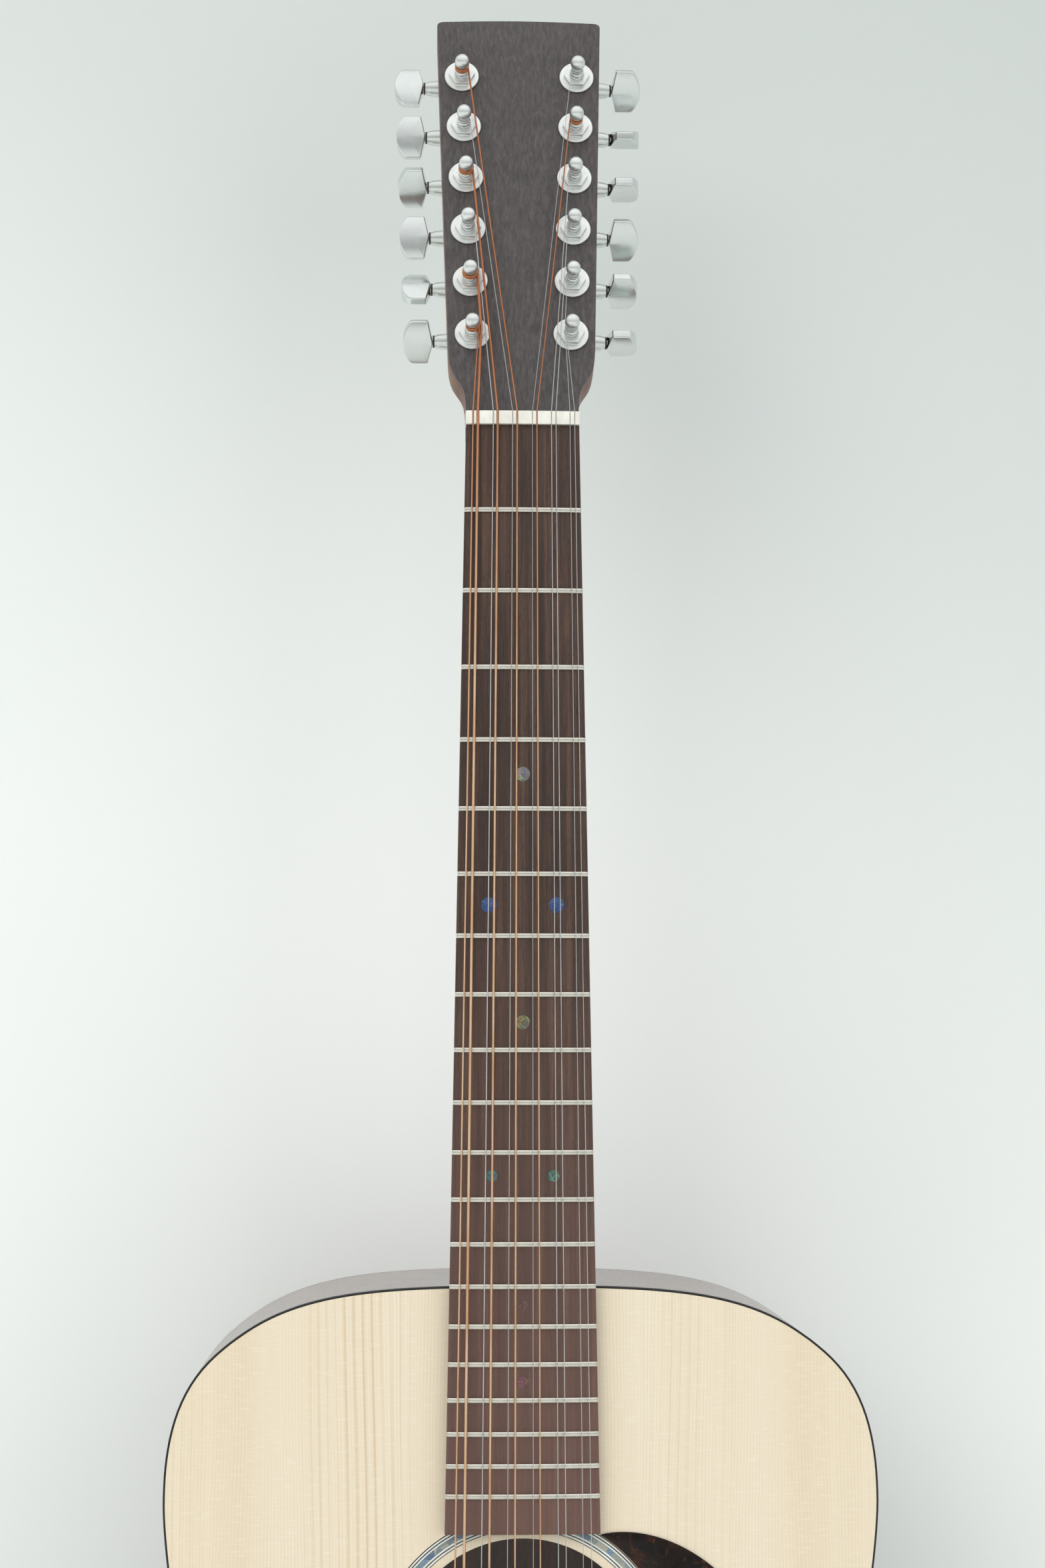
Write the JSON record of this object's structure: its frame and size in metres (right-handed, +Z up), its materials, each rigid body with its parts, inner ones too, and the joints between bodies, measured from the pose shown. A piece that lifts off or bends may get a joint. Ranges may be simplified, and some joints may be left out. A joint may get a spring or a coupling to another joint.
{
  "type": "acoustic guitar",
  "caption": "Steel-string acoustic guitar with paired strings, flat spruce top, long neck and a leaning headstock whose geared tuners turn.",
  "frame": {"origin": "nut's front edge on the centreline, at the level of the frets' tops, where a yoke hanger takes the neck", "axes": "+Z up the neck towards the headstock, front of the guitar faces -Y, +X to the viewer's right"},
  "size_m": [0.3968, 0.1365, 1.0729],
  "materials": {
    "neck_wood": "satin varnish over straight grain",
    "headplate_wood": "satin dark laminate with fine vertical grain",
    "fretboard_wood": "oiled, open fine pores",
    "fret_metal": "polished crown",
    "dot_shell": "polished shell",
    "nut_white": "polished",
    "rod_steel": "plated",
    "cap_black": "gloss",
    "spruce": "satin, fine straight grain",
    "side_laminate": "satin laminate with dark figure",
    "back_laminate": "satin laminate with dark figure",
    "binding_black": "satin",
    "lining_wood": "raw",
    "block_wood": "raw",
    "brace_spruce": "raw",
    "plate_maple": "raw",
    "rosette_black": "flush line",
    "rosette_white": "flush line",
    "rosette_shell": "pearly segments",
    "tortoise": "dark mottled",
    "bridge_wood": "oiled",
    "saddle_white": "polished",
    "pin_black": "polished",
    "tuner_satin": "satin plate on die cast zinc",
    "bushing_satin": "satin plate",
    "screw_steel": "plated",
    "knob_satin": "satin plate, smooth",
    "post_chrome": "polished plate",
    "string_bronze": "wound wire",
    "string_steel": "bright wire"
  },
  "bodies": {
    "root": {"neck": "neck_wood", "heel": "neck_wood", "headstock": "neck_wood", "headplate": "headplate_wood", "fretboard": "fretboard_wood", "frets": "fret_metal", "position_dots": "dot_shell", "nut": "nut_white", "truss_rod": "rod_steel", "heel_cap": "cap_black", "soundboard": "spruce", "sides": "side_laminate", "back": "back_laminate", "top_binding": "binding_black", "linings": "lining_wood", "neck_block": "block_wood", "tail_block": "block_wood", "x_brace": "brace_spruce", "upper_braces": "brace_spruce", "tone_bars": "brace_spruce", "finger_braces": "brace_spruce", "bridge_plate": "plate_maple", "back_braces": "brace_spruce", "rosette_black": "rosette_black", "rosette_white": "rosette_white", "rosette_shell": "rosette_shell", "pickguard": "tortoise", "bridge": "bridge_wood", "saddle": "saddle_white", "bridge_pins": "pin_black", "end_pin": "pin_black", "tuner_housings": "tuner_satin", "tuner_bushings": "bushing_satin", "tuner_screws": "screw_steel", "wound_strings": "string_bronze", "plain_strings": "string_steel"},
    "knob_01": {"tuner_knob_01": "knob_satin"},
    "post_01": {"tuner_post_01": "post_chrome"},
    "knob_02": {"tuner_knob_02": "knob_satin"},
    "post_02": {"tuner_post_02": "post_chrome"},
    "knob_03": {"tuner_knob_03": "knob_satin"},
    "post_03": {"tuner_post_03": "post_chrome"},
    "knob_04": {"tuner_knob_04": "knob_satin"},
    "post_04": {"tuner_post_04": "post_chrome"},
    "knob_05": {"tuner_knob_05": "knob_satin"},
    "post_05": {"tuner_post_05": "post_chrome"},
    "knob_06": {"tuner_knob_06": "knob_satin"},
    "post_06": {"tuner_post_06": "post_chrome"},
    "knob_07": {"tuner_knob_07": "knob_satin"},
    "post_07": {"tuner_post_07": "post_chrome"},
    "knob_08": {"tuner_knob_08": "knob_satin"},
    "post_08": {"tuner_post_08": "post_chrome"},
    "knob_09": {"tuner_knob_09": "knob_satin"},
    "post_09": {"tuner_post_09": "post_chrome"},
    "knob_10": {"tuner_knob_10": "knob_satin"},
    "post_10": {"tuner_post_10": "post_chrome"},
    "knob_11": {"tuner_knob_11": "knob_satin"},
    "post_11": {"tuner_post_11": "post_chrome"},
    "knob_12": {"tuner_knob_12": "knob_satin"},
    "post_12": {"tuner_post_12": "post_chrome"}
  },
  "joints": [
    {"name": "knob_spin_01", "type": "hinge", "parent": "root", "child": "knob_01", "pos_m": [-0.02105, 0.03676, 0.04418], "axis": [1, 0, 0], "continuous": true},
    {"name": "post_spin_01", "type": "hinge", "parent": "root", "child": "post_01", "pos_m": [-0.02105, 0.01457, 0.04199], "axis": [0, -0.9703, 0.2419], "continuous": true},
    {"name": "knob_spin_02", "type": "hinge", "parent": "root", "child": "knob_02", "pos_m": [-0.0219, 0.04291, 0.06883], "axis": [1, 0, 0], "continuous": true},
    {"name": "post_spin_02", "type": "hinge", "parent": "root", "child": "post_02", "pos_m": [-0.0219, 0.02072, 0.06663], "axis": [0, -0.9703, 0.2419], "continuous": true},
    {"name": "knob_spin_03", "type": "hinge", "parent": "root", "child": "knob_03", "pos_m": [-0.02275, 0.04905, 0.09347], "axis": [1, 0, 0], "continuous": true},
    {"name": "post_spin_03", "type": "hinge", "parent": "root", "child": "post_03", "pos_m": [-0.02275, 0.02686, 0.09128], "axis": [0, -0.9703, 0.2419], "continuous": true},
    {"name": "knob_spin_04", "type": "hinge", "parent": "root", "child": "knob_04", "pos_m": [-0.0236, 0.0552, 0.11812], "axis": [1, 0, 0], "continuous": true},
    {"name": "post_spin_04", "type": "hinge", "parent": "root", "child": "post_04", "pos_m": [-0.0236, 0.03301, 0.11592], "axis": [0, -0.9703, 0.2419], "continuous": true},
    {"name": "knob_spin_05", "type": "hinge", "parent": "root", "child": "knob_05", "pos_m": [-0.02445, 0.06134, 0.14277], "axis": [1, 0, 0], "continuous": true},
    {"name": "post_spin_05", "type": "hinge", "parent": "root", "child": "post_05", "pos_m": [-0.02445, 0.03915, 0.14057], "axis": [0, -0.9703, 0.2419], "continuous": true},
    {"name": "knob_spin_06", "type": "hinge", "parent": "root", "child": "knob_06", "pos_m": [-0.0253, 0.06749, 0.16741], "axis": [1, 0, 0], "continuous": true},
    {"name": "post_spin_06", "type": "hinge", "parent": "root", "child": "post_06", "pos_m": [-0.0253, 0.0453, 0.16521], "axis": [0, -0.9703, 0.2419], "continuous": true},
    {"name": "knob_spin_07", "type": "hinge", "parent": "root", "child": "knob_07", "pos_m": [0.02105, 0.03676, 0.04418], "axis": [1, 0, 0], "continuous": true},
    {"name": "post_spin_07", "type": "hinge", "parent": "root", "child": "post_07", "pos_m": [0.02105, 0.01457, 0.04199], "axis": [0, -0.9703, 0.2419], "continuous": true},
    {"name": "knob_spin_08", "type": "hinge", "parent": "root", "child": "knob_08", "pos_m": [0.0219, 0.04291, 0.06883], "axis": [1, 0, 0], "continuous": true},
    {"name": "post_spin_08", "type": "hinge", "parent": "root", "child": "post_08", "pos_m": [0.0219, 0.02072, 0.06663], "axis": [0, -0.9703, 0.2419], "continuous": true},
    {"name": "knob_spin_09", "type": "hinge", "parent": "root", "child": "knob_09", "pos_m": [0.02275, 0.04905, 0.09347], "axis": [1, 0, 0], "continuous": true},
    {"name": "post_spin_09", "type": "hinge", "parent": "root", "child": "post_09", "pos_m": [0.02275, 0.02686, 0.09128], "axis": [0, -0.9703, 0.2419], "continuous": true},
    {"name": "knob_spin_10", "type": "hinge", "parent": "root", "child": "knob_10", "pos_m": [0.0236, 0.0552, 0.11812], "axis": [1, 0, 0], "continuous": true},
    {"name": "post_spin_10", "type": "hinge", "parent": "root", "child": "post_10", "pos_m": [0.0236, 0.03301, 0.11592], "axis": [0, -0.9703, 0.2419], "continuous": true},
    {"name": "knob_spin_11", "type": "hinge", "parent": "root", "child": "knob_11", "pos_m": [0.02445, 0.06134, 0.14277], "axis": [1, 0, 0], "continuous": true},
    {"name": "post_spin_11", "type": "hinge", "parent": "root", "child": "post_11", "pos_m": [0.02445, 0.03915, 0.14057], "axis": [0, -0.9703, 0.2419], "continuous": true},
    {"name": "knob_spin_12", "type": "hinge", "parent": "root", "child": "knob_12", "pos_m": [0.0253, 0.06749, 0.16741], "axis": [1, 0, 0], "continuous": true},
    {"name": "post_spin_12", "type": "hinge", "parent": "root", "child": "post_12", "pos_m": [0.0253, 0.0453, 0.16521], "axis": [0, -0.9703, 0.2419], "continuous": true}
  ],
  "couplings": [
    {"joint": "post_spin_01", "follows": "knob_spin_01", "ratio": -0.071429},
    {"joint": "post_spin_02", "follows": "knob_spin_02", "ratio": -0.071429},
    {"joint": "post_spin_03", "follows": "knob_spin_03", "ratio": -0.071429},
    {"joint": "post_spin_04", "follows": "knob_spin_04", "ratio": -0.071429},
    {"joint": "post_spin_05", "follows": "knob_spin_05", "ratio": -0.071429},
    {"joint": "post_spin_06", "follows": "knob_spin_06", "ratio": -0.071429},
    {"joint": "post_spin_07", "follows": "knob_spin_07", "ratio": 0.071429},
    {"joint": "post_spin_08", "follows": "knob_spin_08", "ratio": 0.071429},
    {"joint": "post_spin_09", "follows": "knob_spin_09", "ratio": 0.071429},
    {"joint": "post_spin_10", "follows": "knob_spin_10", "ratio": 0.071429},
    {"joint": "post_spin_11", "follows": "knob_spin_11", "ratio": 0.071429},
    {"joint": "post_spin_12", "follows": "knob_spin_12", "ratio": 0.071429}
  ]
}
